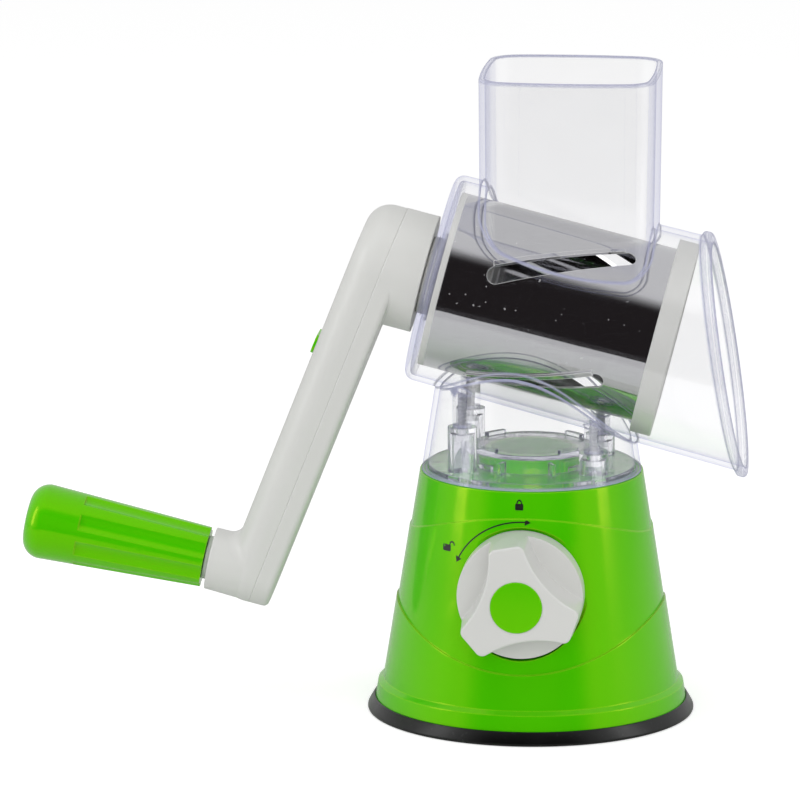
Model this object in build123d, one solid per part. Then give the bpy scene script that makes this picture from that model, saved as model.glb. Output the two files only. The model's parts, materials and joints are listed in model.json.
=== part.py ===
from build123d import *
import math
import os

# A rotary drum grater on a suction foot. The origin is the middle of the foot on the table, +Z is
# up, +X points to the side where the food falls out and -Y to the person who turns the foot knob.
# Sizes are in millimetres.

# Clearances shared by many pieces
running_fit = 0.08
seat_gap = 0.3
snug_fit = 0.03
wide_gap = 0.5

# Base shell: a cone in three tiers on a foot band
shell_bottom = 4.6
shell_top = 102.8
shell_wall = 2.2
deck_thickness = 2.4
band_bottom_radius = 65.6
band_top = 11.9
band_top_radius = 64.4
cone_foot = 13.5
cone_foot_radius = 62.2
cone_slope = 0.1575
lower_ledge = 0.7
lower_swoosh_front = 28.0
lower_swoosh_edge = 61.5
upper_ledge = 0.55
upper_swoosh_front = 92.0
upper_swoosh_edge = 66.7
column_radius = 4.2
column_pitch_radius = 36.0
column_count = 4

# Suction pad under the shell, drawn up in the middle as it is when locked
pad_radius = 68.8
pad_edge = 1.0
pad_lip_top = 5.6
pad_lip_width = 0.8
pad_ring_inner_radius = 56.0
pad_web = 3.0
pad_boss_radius = 18.0
pad_boss_top = 13.0
pad_hollow = 8.5

# Lift stem, its foot plate and the frame that guides it
insert_radius = 16.0
insert_thickness = 3.0
stud_radius = 3.0
stud_length = 9.0
stem_radius = 5.0
stem_top = 73.0
yoke_width = 19.0
yoke_depth = 9.0
yoke_height = 22.0
frame_bottom = 20.0
frame_thickness = 3.0
frame_margin = 8.0
guide_height = 14.0
guide_wall = 3.5
tower_near = 12.0
tower_thickness = 8.0
tower_width = 20.0
tower_rise = 9.0
frame_screw_radius = 1.5
frame_screw_length = 12.0
frame_screw_head_radius = 3.2
frame_screw_head = 2.2

# Knob, its shaft and the eccentric pin that works the stem
knob_height = 61.1
knob_radius = 26.2
knob_pocket_floor = 47.5
knob_pocket_gap = 1.1
knob_back = 48.4
knob_flange = 10.0
knob_face = 77.4
knob_hollow_depth = 6.0
knob_wall = 3.5
knob_hub_radius = 8.5
lobe_count = 3
lobe_turn = 10.5
lobe_radius = 25.3
lobe_half_width = 7.2
lobe_waist = 14.8
lobe_draft = 0.9
lobe_corner = 3.2
knob_edge = 0.8
cap_radius = 10.75
cap_thickness = 3.0
cap_rise = 0.3
shaft_radius = 4.0
shaft_flat = 3.0
shaft_socket = 12.0
knob_web = 3.0
knob_screw_radius = 2.0
knob_screw_length = 14.0
knob_screw_head_radius = 4.0
knob_screw_head = 2.6
bush_radius = 6.5
bush_flange_radius = 9.0
bush_flange = 1.8
clip_radius = 6.5
clip_thickness = 1.0
clip_groove_radius = 3.1
clip_opening = 80.0
crank_web_radius = 9.0
crank_web_thickness = 3.0
pin_offset = 5.0
pin_radius = 2.0
pin_start_angle = 35.0
pin_overrun = 1.0
slot_clearance = 0.15

# Bayonet between the base and the clear body
hub_radius = 19.4
hub_wall = 2.4
hub_top = 110.8
lug_reach = 2.9
lug_bottom = 107.4
lug_height = 2.4
lug_width = 28.0
lug_count = 3
stop_width = 5.0
plate_thickness = 2.5
cup_radius = 25.0
cup_wall = 2.2
cup_top_thickness = 2.2
cup_notch_height = 1.6
cup_notch_width = 24.0
cup_notch_count = 4
cup_rib_count = 8
cup_rib_thickness = 1.6
cup_rib_reach = 5.0
cup_rib_height = 5.0
tab_reach = 2.6
tab_height = 3.6
post_radius = 6.1
post_x = 27.5
post_y = 19.5
post_top_left = 124.5
post_top_right = 114.5
post_shoulder = 3.0

# Clear drum housing, tilted down towards the open end
tilt = 14.0
axis_x = 7.65
axis_z = 171.9
skirt_ledge = 0.7
clear_wall = 2.2
barrel_radius = 44.2
barrel_flare = 0.0128
barrel_end = -52.0
barrel_corner = 4.0
mouth_middle = 77.5
mouth_angle = 23.2
mouth_lip = 2.0
mouth_lip_width = 4.0
mouth_lip_rounding = 1.4
journal_radius = 16.4
journal_collar = 2.2
chute_middle = 15.9
chute_half_width = 37.15
chute_half_depth = 39.8
chute_bow = 3.0
chute_corner = 13.0
chute_top = 272.6
chute_wall = 2.4
chute_draft = 1.0
chute_rim_rounding = 0.8
boss_radius = 4.1
hopper_screw_radius = 1.9
hopper_screw_core = 1.35
hopper_screw_pitch = 1.5
hopper_screw_turns = 8
hopper_screw_head_radius = 3.4
hopper_screw_head = 2.4
hopper_screw_bore_end = 1.5

# Slicing drum, measured along its axis from the middle of the steel
drum_sheet = 0.7
drum_left = -45.0
drum_right = 45.0
drum_tuck = 3.0
blade_count = 4
blade_middle = 1.0
blade_angle_from_top = 48.5
blade_slant = 25.0
blade_length = 63.0
blade_width = 7.0
lip_width = 2.0
lip_height = 1.1
rim_gap = 0.6
rim_step = 4.3
rim_inner_step = 1.9
rim_right = 54.0
hub_flange = 2.5
hub_skirt = 4.0
hub_skirt_wall = 2.5
socket_radius = 10.5
socket_depth = 18.5
socket_floor = 2.0
drive_flats = 12.0

# Crank: a leaning arm of two shells with a round hub and a boss for the grip
hub_gap = 2.2
crank_hub_radius = 25.0
hub_step = 0.15
crank_throw = 142.3
crank_lean = 7.65
arm_outer = -85.6
arm_thickness = 22.2
arm_seam = 14.2
arm_end_radius = 13.9
arm_rounding = 10.5
arm_inner_rounding = 2.5
arm_wall = 5.0
arm_skin = 3.2
pocket_start = 24.0
pocket_end = 112.0
arm_screw_first = 38.0
arm_screw_pitch = 31.0
arm_screw_count = 3
arm_screw_radius = 1.5
arm_screw_head_radius = 3.0
arm_screw_head = 2.4
arm_screw_tip = 6.0
arm_post_radius = 4.2
grip_boss_radius = 13.2
grip_boss_face = -112.5
boss_blend = 5.0
inlay_place = 40.0
inlay_length = 20.0
inlay_width = 8.0
inlay_depth = 1.2
inlay_rise = 1.2
key_flats = 26.0
key_depth = 7.8
spindle_screw_radius = 2.0
spindle_screw_reach = 18.0
spindle_screw_head_radius = 4.2
spindle_screw_head = 3.0

# Grip that turns on its pin
collar_radius = 9.25
collar_thickness = 1.9
grip_length = 77.5
grip_droop = 2.6
grip_arm_radius = 12.85
grip_end_radius = 16.3
grip_end_rounding = 7.8
flute_count = 8
flute_radius = 8.0
flute_depth = 1.2
flute_stop = 23.5
flute_turn = 25.0
grip_pin_radius = 3.9
grip_pin_reach = 60.0
grip_pin_seat = 19.0
bead_rise = 0.6
bead_width = 2.0
bead_place = 52.0

# Heights and places that follow from the sizes above
plate_bottom = shell_top + seat_gap
plate_top = plate_bottom + plate_thickness
cup_top = hub_top + wide_gap + cup_top_thickness
cup_inner_radius = cup_radius - cup_wall
frame_top = frame_bottom + frame_thickness
grip_start = -collar_thickness - seat_gap
pin_lift = pin_offset * math.sin(math.radians(pin_start_angle))
pin_side = -pin_offset * math.cos(math.radians(pin_start_angle))
hub_left = drum_left - hub_flange
rim_radius = barrel_radius - clear_wall - rim_gap
drum_radius = rim_radius - rim_step
rim_inner_radius = drum_radius - rim_inner_step

# Placings: local z runs along the drum to the open end and local x hangs down from its axis
drum_axis = Pos(axis_x, 0, axis_z) * Rot(0, 90 + tilt, 0)
arm_lean = Pos(0, 0, arm_outer) * Rot(0, crank_lean, 0)
arm_frame = drum_axis * arm_lean
mouth_frame = drum_axis * Pos(0, 0, mouth_middle) * Rot(0, -mouth_angle, 0)
grip_axis = drum_axis * Pos(crank_throw, 0, grip_boss_face) * Rot(0, -grip_droop, 0)
grip_frame = grip_axis * Pos(0, 0, grip_start) * Rot(180, 0, 0)
knob_frame = Plane(origin=(0, 0, knob_height), x_dir=(1, 0, 0), z_dir=(0, -1, 0)).location
upright = (Align.CENTER, Align.CENTER, Align.MIN)


def turned(points):
    """Solid of revolution about Z from an outline of radius and height."""
    return revolve(Plane.XZ * make_face(Polyline(*points, close=True)), Axis.Z)


def post(radius, low, high, x=0.0, y=0.0):
    """Round post about a line parallel to Z, from low to high."""
    return Pos(x, y, low) * Cylinder(radius, high - low, align=upright)


def sector(inner, outer, low, high, middle, width):
    """Piece of a ring about Z, width degrees wide about the angle middle."""
    outline = make_face(Polyline((inner, low), (outer, low), (outer, high), (inner, high), close=True))
    return Rot(0, 0, middle - width / 2) * revolve(Plane.XZ * outline, Axis.Z, width)


def prism(flats, low, high, turn=0.0):
    """Hexagonal bar about Z with the given width across flats."""
    outline = RegularPolygon(flats / 2, 6, major_radius=False, rotation=turn)
    return Pos(0, 0, low) * extrude(outline, high - low)


def around(count, start=0.0):
    """Angles that share out a full turn evenly."""
    return [start + 360 * i / count for i in range(count)]


def polar(radius, angle):
    """Place at a radius and an angle about Z."""
    return radius * math.cos(math.radians(angle)), radius * math.sin(math.radians(angle))


def cone_radius(z):
    """Radius of the lowest tier's cone, carried up or down to the height z."""
    return cone_foot_radius - cone_slope * (z - cone_foot)


def skirt_radius(z):
    """Outer radius of the clear skirt that carries the cone on upwards."""
    return cone_radius(z) - lower_ledge - upper_ledge - skirt_ledge


def shell_inner_radius(z):
    """Radius of the hollow inside the shell."""
    return cone_radius(z) - lower_ledge - upper_ledge - shell_wall


def barrel_radius_at(a):
    """Outer radius of the flared drum housing at the place a along its axis."""
    return barrel_radius + barrel_flare * (a - barrel_end)


def tier(drop):
    """Cone of the shell, smaller than the lowest tier by drop."""
    low, high = cone_radius(cone_foot) - drop, cone_radius(shell_top) - drop
    return turned([(0, cone_foot), (low, cone_foot), (high, shell_top), (0, shell_top)])


def below_swoosh(front, edge):
    """Room below a curved line that is seen as an arc from the front."""
    arc = ThreePointArc((-pad_radius, edge), (0, front), (pad_radius, edge))
    rest = Polyline((pad_radius, edge), (pad_radius, 0), (-pad_radius, 0), (-pad_radius, edge))
    return extrude(Plane.XZ * make_face([arc, rest]), pad_radius, both=True)


def column_places():
    """Places of the columns that the lift frame is screwed to."""
    return [polar(column_pitch_radius, angle) for angle in around(column_count, 45)]


def base_shell():
    """Green cone with ledges, a sunk seat for the knob, columns inside and the bayonet hub on top."""
    band = turned([
        (0, shell_bottom),
        (band_bottom_radius, shell_bottom),
        (band_top_radius, band_top),
        (cone_foot_radius, cone_foot),
        (0, cone_foot),
    ])
    outer = band + tier(lower_ledge + upper_ledge)
    outer += tier(lower_ledge) & below_swoosh(upper_swoosh_front, upper_swoosh_edge)
    outer += tier(0) & below_swoosh(lower_swoosh_front, lower_swoosh_edge)
    ceiling = shell_top - deck_thickness
    hollow = turned([
        (0, shell_bottom),
        (band_bottom_radius - shell_wall, shell_bottom),
        (band_top_radius - shell_wall, band_top - shell_wall),
        (shell_inner_radius(cone_foot), cone_foot),
        (shell_inner_radius(ceiling), ceiling),
        (0, ceiling),
    ])
    pocket_radius = knob_radius + knob_pocket_gap
    cup = knob_frame * post(pocket_radius + shell_wall, knob_pocket_floor - shell_wall, pad_radius)
    pocket = knob_frame * post(pocket_radius, knob_pocket_floor, pad_radius)
    bush_hole = knob_frame * post(bush_radius + snug_fit, 0, knob_pocket_floor)
    shell = outer - hollow + (cup & outer) - pocket
    for x, y in column_places():
        column = post(column_radius, frame_top, ceiling + snug_fit, x, y)
        drill = post(frame_screw_radius + snug_fit, frame_top, frame_top + frame_screw_length, x, y)
        shell = shell + column - drill
    shell = shell + bayonet_hub() - bush_hole
    return shell


def bayonet_hub():
    """Ring on the deck whose lugs hold the clear body down."""
    hub = post(hub_radius, shell_top, hub_top) - post(hub_radius - hub_wall, shell_top, hub_top)
    root = hub_radius - hub_wall / 2
    for angle in around(lug_count, 90):
        tip = hub_radius + lug_reach
        hub += sector(root, tip, lug_bottom, lug_bottom + lug_height, angle, lug_width)
        stop_middle = angle - lug_width / 2 - stop_width / 2
        hub += sector(root, tip, shell_top, lug_bottom + lug_height, stop_middle, stop_width)
    return hub


def suction_pad():
    """Rubber pad with a thin outer edge, a seat for the shell's rim and a raised middle."""
    lip_inner = band_bottom_radius + seat_gap
    ring_seat = band_bottom_radius - shell_wall - pad_web
    return turned([
        (0, pad_hollow),
        (pad_boss_radius - pad_web, pad_hollow),
        (pad_ring_inner_radius, 0),
        (pad_radius, 0),
        (pad_radius, pad_edge),
        (lip_inner + pad_lip_width, pad_lip_top),
        (lip_inner, pad_lip_top),
        (lip_inner, shell_bottom),
        (ring_seat, shell_bottom),
        (pad_boss_radius, pad_hollow + pad_web),
        (pad_boss_radius, pad_boss_top),
        (0, pad_boss_top),
    ])


def pad_insert():
    """Steel plate bonded to the pad's middle, with a stud for the stem."""
    plate = post(insert_radius, pad_boss_top, pad_boss_top + insert_thickness)
    stud = post(stud_radius, pad_boss_top, pad_boss_top + insert_thickness + stud_length)
    return plate + stud


def lift_stem():
    """Upright rod with a yoke whose level slot takes the eccentric pin."""
    foot = pad_boss_top + insert_thickness
    rod = post(stem_radius, foot, stem_top)
    yoke = Pos(0, 0, knob_height) * Box(yoke_width, yoke_depth, yoke_height)
    tapped = post(stud_radius + snug_fit, foot, foot + stud_length + wide_gap)
    slot_length = pin_offset + pin_side + 2 * (pin_radius + 2 * slot_clearance)
    slot_middle = (pin_side - pin_offset) / 2
    slot_box = Box(slot_length, 2 * yoke_depth, 2 * (pin_radius + slot_clearance))
    slot = Pos(slot_middle, 0, knob_height + pin_lift) * slot_box
    return rod + yoke - tapped - slot


def lift_frame():
    """Inner bracket: a round plate with a guide for the stem and a bearing tower for the shaft."""
    plate = post(column_pitch_radius + frame_margin, frame_bottom, frame_top)
    guide = post(stem_radius + running_fit + guide_wall, frame_bottom, frame_top + guide_height)
    tower_top = knob_height + tower_rise
    tower_middle = -tower_near - tower_thickness / 2
    tower = Pos(0, tower_middle, frame_bottom) * Box(
        tower_width, tower_thickness, tower_top - frame_bottom, align=upright
    )
    frame = plate + guide + tower
    frame -= post(stem_radius + running_fit, frame_bottom, tower_top)
    frame -= knob_frame * post(shaft_radius + running_fit, 0, pad_radius)
    for x, y in column_places():
        frame -= post(frame_screw_radius + snug_fit, frame_bottom, frame_top, x, y)
    return frame


def screw(radius, length, head_radius, head):
    """Plain screw about Z: the shank points up from the origin and the head is below it."""
    return post(radius, -head / 2, length) + post(head_radius, -head, 0)


def frame_screws():
    """Screws that hold the lift frame to the shell's columns."""
    length = frame_screw_length + frame_thickness - wide_gap
    one = screw(frame_screw_radius, length, frame_screw_head_radius, frame_screw_head)
    return [Pos(x, y, frame_bottom) * one for x, y in column_places()]


def shaft_bush():
    """Flanged bush in the shell's knob seat."""
    inside = knob_pocket_floor - shell_wall
    bush = post(bush_radius, inside, knob_pocket_floor)
    bush += post(bush_flange_radius, inside - bush_flange, inside)
    return knob_frame * (bush - post(shaft_radius + running_fit, 0, knob_pocket_floor))


def lobe_outline(grow):
    """Three-lobed outline of the knob's grip with flat rounded ends and hollow sides."""
    edges = []
    for angle in around(lobe_count, 90 + lobe_turn):
        half = math.degrees(math.atan2(lobe_half_width + grow, lobe_radius + grow))
        reach = math.hypot(lobe_half_width + grow, lobe_radius + grow)
        pitch = 360 / lobe_count
        near = polar(reach, angle - half)
        far = polar(reach, angle + half)
        waist = polar(lobe_waist + grow, angle + pitch / 2)
        following = polar(reach, angle + pitch - half)
        edges += [Line(near, far), ThreePointArc(far, waist, following)]
    face = make_face(edges)
    return fillet(face.vertices(), lobe_corner)


def knob():
    """White knob: a deep flange, a three-lobed grip and a socket for the shaft."""
    flange_front = knob_back + knob_flange
    flange = post(knob_radius, knob_back, flange_front)
    grip_root = Pos(0, 0, flange_front - snug_fit) * lobe_outline(lobe_draft)
    grip_face = Pos(0, 0, knob_face) * lobe_outline(0)
    body = flange + loft([grip_root.face(), grip_face.face()], ruled=True)
    body = body & post(knob_radius, knob_back, knob_face)
    body = fillet(body.faces().sort_by(Axis.Z)[-1].edges(), knob_edge)
    hollow = post(knob_radius - knob_wall, knob_back, knob_back + knob_hollow_depth)
    hollow -= post(knob_hub_radius, knob_back, knob_back + knob_hollow_depth)
    cap_seat = knob_face - cap_thickness - seat_gap
    socket_end = knob_back + shaft_socket
    body -= hollow
    body -= post(cap_radius + snug_fit, cap_seat, knob_face)
    body -= shaft_section(shaft_radius + snug_fit, shaft_flat + snug_fit, knob_back, socket_end)
    body -= post(knob_screw_radius + running_fit, socket_end, cap_seat)
    body -= post(knob_screw_head_radius + wide_gap, socket_end + knob_web, cap_seat)
    return knob_frame * body


def shaft_section(radius, flat, low, high):
    """Round bar about Z with one flat on its upper side."""
    keep = Pos(0, flat - radius, low) * Box(2 * radius, 2 * radius, high - low, align=upright)
    return post(radius, low, high) & keep


def knob_cap():
    """Green disc that closes the knob's face."""
    seat = knob_face - cap_thickness - seat_gap
    disc = post(cap_radius, seat, knob_face + cap_rise)
    return knob_frame * fillet(disc.edges().sort_by(Axis.Z)[-1], cap_rise)


def knob_screw():
    """Screw that holds the knob on its shaft."""
    seat = knob_back + shaft_socket + knob_web
    one = screw(knob_screw_radius, knob_screw_length, knob_screw_head_radius, knob_screw_head)
    return knob_frame * Pos(0, 0, seat) * Rot(180, 0, 0) * one


def clip_place():
    """Distance of the shaft's clip groove from the shell's axis."""
    return knob_pocket_floor - shell_wall - bush_flange - clip_thickness - running_fit


def knob_shaft():
    """Steel shaft with a flat for the knob, a clip groove and an eccentric pin on its inner end."""
    web_back = yoke_depth / 2 + wide_gap
    web_front = web_back + crank_web_thickness
    socket_end = knob_back + shaft_socket
    shaft = post(shaft_radius, web_front, knob_back)
    shaft += shaft_section(shaft_radius, shaft_flat, knob_back, socket_end)
    shaft += post(crank_web_radius, web_back, web_front)
    shaft += post(pin_radius, -yoke_depth / 2 - pin_overrun, web_front, pin_side, pin_lift)
    groove_low = clip_place() - snug_fit
    groove = post(shaft_radius + wide_gap, groove_low, groove_low + clip_thickness + 2 * snug_fit)
    groove -= post(clip_groove_radius, groove_low, groove_low + clip_thickness + 2 * snug_fit)
    tapped_start = socket_end + knob_web - knob_screw_length - wide_gap
    tapped = post(knob_screw_radius + snug_fit, tapped_start, socket_end)
    return knob_frame * (shaft - groove - tapped)


def shaft_clip():
    """Open spring clip in the shaft's groove."""
    ring_inner = clip_groove_radius + snug_fit
    low, high = clip_place(), clip_place() + clip_thickness
    return knob_frame * sector(ring_inner, clip_radius, low, high, 90, 360 - clip_opening)


def post_places():
    """Places and top heights of the four clear posts."""
    tops = {-post_x: post_top_left, post_x: post_top_right}
    return [(x, y, tops[x]) for x in tops for y in (-post_y, post_y)]


def bayonet_plate():
    """Clear deck under the drum housing: a cup over the bayonet hub and four hollow posts."""
    rim = skirt_radius(plate_top) - clear_wall - seat_gap
    plate = post(rim, plate_bottom, plate_top) + post(cup_radius, plate_bottom, cup_top)
    plate -= post(cup_inner_radius, plate_bottom, cup_top - cup_top_thickness)
    for angle in around(lug_count, 90):
        inner = cup_inner_radius - tab_reach
        plate += sector(inner, cup_radius, plate_bottom, plate_bottom + tab_height, angle, lug_width)
    for angle in around(cup_notch_count, 45):
        notch_top = cup_top + cup_notch_height
        plate += sector(cup_inner_radius, cup_radius, cup_top, notch_top, angle, cup_notch_width)
    rib_length = cup_rib_reach + cup_wall
    for angle in around(cup_rib_count, 22.5):
        rib = Box(rib_length, cup_rib_thickness, cup_rib_height, align=(Align.MIN, Align.CENTER, Align.MIN))
        plate += Rot(0, 0, angle) * Pos(cup_inner_radius + snug_fit, 0, plate_top - snug_fit) * rib
    for x, y, top in post_places():
        shoulder = top - post_shoulder
        plate += post(post_radius, plate_bottom, top, x, y) - post(cup_inner_radius, plate_bottom, cup_top)
        plate -= post(hopper_screw_head_radius + seat_gap, plate_bottom, shoulder, x, y)
        plate -= post(hopper_screw_radius + running_fit, shoulder, top, x, y)
    return plate


def hopper_screw_length():
    """Length of a hopper screw's thread and shank from under its head."""
    return post_shoulder + hopper_screw_turns * hopper_screw_pitch


def hopper_screws():
    """Thread-forming screws, head down, from the clear posts into the housing's bosses."""
    outline = [(0, -hopper_screw_head), (hopper_screw_head_radius, -hopper_screw_head)]
    outline += [(hopper_screw_head_radius, 0), (hopper_screw_core, 0), (hopper_screw_core, post_shoulder)]
    for turn in range(hopper_screw_turns):
        root = post_shoulder + turn * hopper_screw_pitch
        outline += [(hopper_screw_radius, root + hopper_screw_pitch / 2)]
        outline += [(hopper_screw_core, root + hopper_screw_pitch)]
    outline += [(0, hopper_screw_length() + hopper_screw_core)]
    one = turned(outline)
    return [Pos(x, y, top - post_shoulder) * one for x, y, top in post_places()]


def chute_outline(inset):
    """Feed chute's plan: a square with bowed sides and round corners, smaller by inset all round."""
    half_x, half_y = chute_half_width - inset, chute_half_depth - inset
    corner_x, corner_y = half_x - chute_bow / 2, half_y - chute_bow
    edges = []
    for side in (-1, 1):
        start, end = (-corner_x, side * corner_y), (corner_x, side * corner_y)
        edges.append(ThreePointArc(start, (0, side * half_y), end))
        start, end = (side * corner_x, -corner_y), (side * corner_x, corner_y)
        edges.append(ThreePointArc(start, (side * half_x, 0), end))
    face = make_face(edges)
    return fillet(face.vertices(), chute_corner - inset)


def chute_solid(inset, top):
    """Chute's full solid from the drum axis to the height top, a little wider at the top."""
    low = Pos(chute_middle, 0, axis_z) * chute_outline(inset + chute_draft)
    high = Pos(chute_middle, 0, top) * chute_outline(inset)
    return loft([low.face(), high.face()], ruled=True)


def skirt_solid(inset, low):
    """Clear skirt's full cone from low up into the drum housing."""
    return turned([
        (0, low),
        (skirt_radius(low) - inset, low),
        (skirt_radius(axis_z) - inset, axis_z),
        (0, axis_z),
    ])


def barrel_solid(inset, start, end):
    """Drum housing's full flared solid about the drum axis, smaller by inset, rounded at its closed end."""
    corner = max(barrel_corner - inset, clear_wall / 2)
    radius = barrel_radius_at(start) - inset
    rounding = RadiusArc((radius, start + corner), (radius - corner, start), corner)
    outline = Polyline(
        (radius - corner, start),
        (0, start),
        (0, end),
        (barrel_radius_at(end) - inset, end),
        (radius, start + corner),
    )
    return drum_axis * revolve(Plane.XZ * make_face([rounding, outline]), Axis.Z)


def hopper_housing():
    """One clear moulding: drum barrel with a slanted mouth, feed chute, skirt and screw bosses."""
    far = mouth_middle + 2 * barrel_radius
    barrel = barrel_solid(0, barrel_end, far)
    room = barrel_solid(clear_wall, barrel_end + clear_wall, far + clear_wall)
    ahead = mouth_frame * Box(6 * barrel_radius, 6 * barrel_radius, 6 * barrel_radius, align=upright)
    lip_slab = mouth_frame * Pos(0, 0, -mouth_lip_width) * Box(
        6 * barrel_radius, 6 * barrel_radius, mouth_lip_width, align=upright
    )
    lip = barrel_solid(-mouth_lip, barrel_end, far) & lip_slab
    lip = fillet(lip.edges(), mouth_lip_rounding)
    bore = drum_axis * post(journal_radius + running_fit, barrel_end - clear_wall, 0)
    collar_radius_outside = journal_radius + running_fit + journal_collar
    collar = drum_axis * post(collar_radius_outside, barrel_end, hub_left - wide_gap)
    chute = chute_solid(0, chute_top)
    chute = fillet(chute.edges().group_by(Axis.Z)[-1], chute_rim_rounding)
    chute_room = chute_solid(chute_wall, chute_top + chute_wall)
    barrel_body = barrel - ahead + lip
    housing = barrel_body + chute + (skirt_solid(0, plate_bottom) - barrel)
    housing -= skirt_solid(clear_wall, plate_bottom) - barrel
    housing = housing - room - chute_room
    housing += collar - bore
    for x, y, top in post_places():
        housing += post(boss_radius, top, axis_z, x, y) - room
        hole_end = top + hopper_screw_length() - post_shoulder + hopper_screw_bore_end
        housing -= post(hopper_screw_radius + snug_fit, top, hole_end, x, y)
    return housing - bore


def blade_frame(angle):
    """Frame on the drum's surface at one blade: local x runs along the slanted slot, z outwards."""
    outward = polar(1, 180 + blade_angle_from_top + angle)
    plane = Plane(origin=(0, 0, blade_middle), x_dir=(0, 0, 1), z_dir=(*outward, 0))
    return plane.location * Rot(0, 0, blade_slant)


def drum_sleeve():
    """Polished steel sleeve with slanted slicing slots, each with a raised lip along one side."""
    inner = drum_radius - drum_sheet
    end = drum_right + drum_tuck
    sleeve = post(drum_radius, drum_left, end)
    raised = post(drum_radius + lip_height, drum_left, drum_right)
    for angle in around(blade_count):
        place = blade_frame(angle)
        slot = place * extrude(SlotOverall(blade_length, blade_width), 2 * drum_radius)
        lip_side = (blade_width + lip_width) / 2
        lip_run = blade_length - blade_width
        lip = place * extrude(Pos(0, lip_side) * Rectangle(lip_run, lip_width), 2 * drum_radius)
        sleeve = sleeve + (raised & lip) - slot
    return drum_axis * (sleeve - post(inner, drum_left, end))


def drum_rim():
    """White ring round the drum's open end."""
    tuck_end = drum_right + drum_tuck
    ring = post(rim_radius, drum_right, rim_right)
    ring -= post(drum_radius + snug_fit, drum_right, tuck_end)
    ring -= post(rim_inner_radius, drum_right, rim_right)
    circles = ring.edges().filter_by(GeomType.CIRCLE)
    outer_edges = circles.filter_by(lambda e: e.radius > rim_radius - snug_fit)
    return drum_axis * fillet(outer_edges, wide_gap)


def drum_hub():
    """White end disc of the drum with a hexagonal socket for the drive spindle."""
    inner = drum_radius - drum_sheet - snug_fit
    hub = post(drum_radius, hub_left, drum_left)
    hub += post(inner, hub_left, drum_left + hub_skirt)
    hub -= post(inner - hub_skirt_wall, drum_left, drum_left + hub_skirt)
    socket_end = hub_left + socket_depth
    hub += post(socket_radius, hub_left, socket_end + socket_floor)
    hub -= prism(drive_flats + 2 * running_fit, hub_left, socket_end)
    return drum_axis * hub


def tapered_outline(first, second, distance):
    """Outline of two circles a distance apart along x, joined by the lines that touch both."""
    turn = math.degrees(math.acos((first - second) / distance))
    large = CenterArc((0, 0), first, turn, 360 - 2 * turn)
    small = CenterArc((distance, 0), second, -turn, 2 * turn)
    return make_face([large, Line(large @ 1, small @ 0), small, Line(small @ 1, large @ 0)])


def arm_slab(low, high):
    """Slice of the arm between two heights of its own frame; its sides run along the drum axis."""
    outline = tapered_outline(crank_hub_radius - hub_step, arm_end_radius, crank_throw)
    bar = arm_lean.inverse() * extrude(outline, 2 * crank_throw, both=True)
    return bar & Pos(0, 0, low) * Box(4 * crank_throw, 4 * crank_throw, high - low, align=upright)


def arm_room(low, high):
    """Hollow along the middle of the arm, a wall's thickness inside it, less the screw posts."""
    start_radius = arm_half_width(pocket_start) - arm_wall
    end_radius = arm_half_width(pocket_end) - arm_wall
    outline = tapered_outline(start_radius, end_radius, pocket_end - pocket_start)
    room = Pos(pocket_start, 0, low) * extrude(outline, high - low)
    for place in arm_screw_places():
        room -= post(arm_post_radius, low, high, place)
    return room


def arm_length():
    """Distance along the leaning arm from the drum axis to the grip axis."""
    return crank_throw / math.cos(math.radians(crank_lean))


def arm_half_width(place):
    """Half the arm's width, which tapers from the hub to the grip boss."""
    return crank_hub_radius + (arm_end_radius - crank_hub_radius) * place / arm_length()


def arm_screw_places():
    """Places of the screws along the arm."""
    return [arm_screw_first + i * arm_screw_pitch for i in range(arm_screw_count)]


def crank_arm():
    """Inner half of the crank: arm shell with the round hub that carries the spindle."""
    plate = arm_slab(arm_seam, arm_thickness)
    plate = fillet(plate.edges().group_by(Axis.Z)[-1], arm_inner_rounding)
    arm = plate - arm_room(arm_seam, arm_thickness - arm_skin)
    for place in arm_screw_places():
        arm -= post(arm_screw_radius + running_fit, arm_seam, arm_thickness, place)
        head_seat = arm_thickness - arm_screw_head
        arm -= post(arm_screw_head_radius + running_fit, head_seat, arm_thickness, place)
    hub_face = barrel_end - hub_gap
    beyond_seam = arm_frame * Pos(0, 0, arm_seam) * Box(
        4 * crank_throw, 4 * crank_throw, 4 * crank_throw, align=upright
    )
    hub = (drum_axis * post(crank_hub_radius, arm_outer, hub_face)) & beyond_seam
    key_end = hub_face - key_depth
    body = arm_frame * arm + hub
    body -= drum_axis * prism(key_flats + 2 * snug_fit, key_end, hub_face)
    body -= drum_axis * post(spindle_screw_radius + running_fit, arm_outer, hub_face)
    return body - drum_axis * post(spindle_screw_head_radius + running_fit, arm_outer, spindle_screw_seat())


def spindle_screw_seat():
    """Place along the drum axis where the spindle screw's head bears, clear of the leaning seam."""
    lean = math.radians(crank_lean)
    seam_high = arm_outer + arm_seam / math.cos(lean) + spindle_screw_head_radius * math.tan(lean)
    return seam_high + spindle_screw_head + seat_gap


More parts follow.
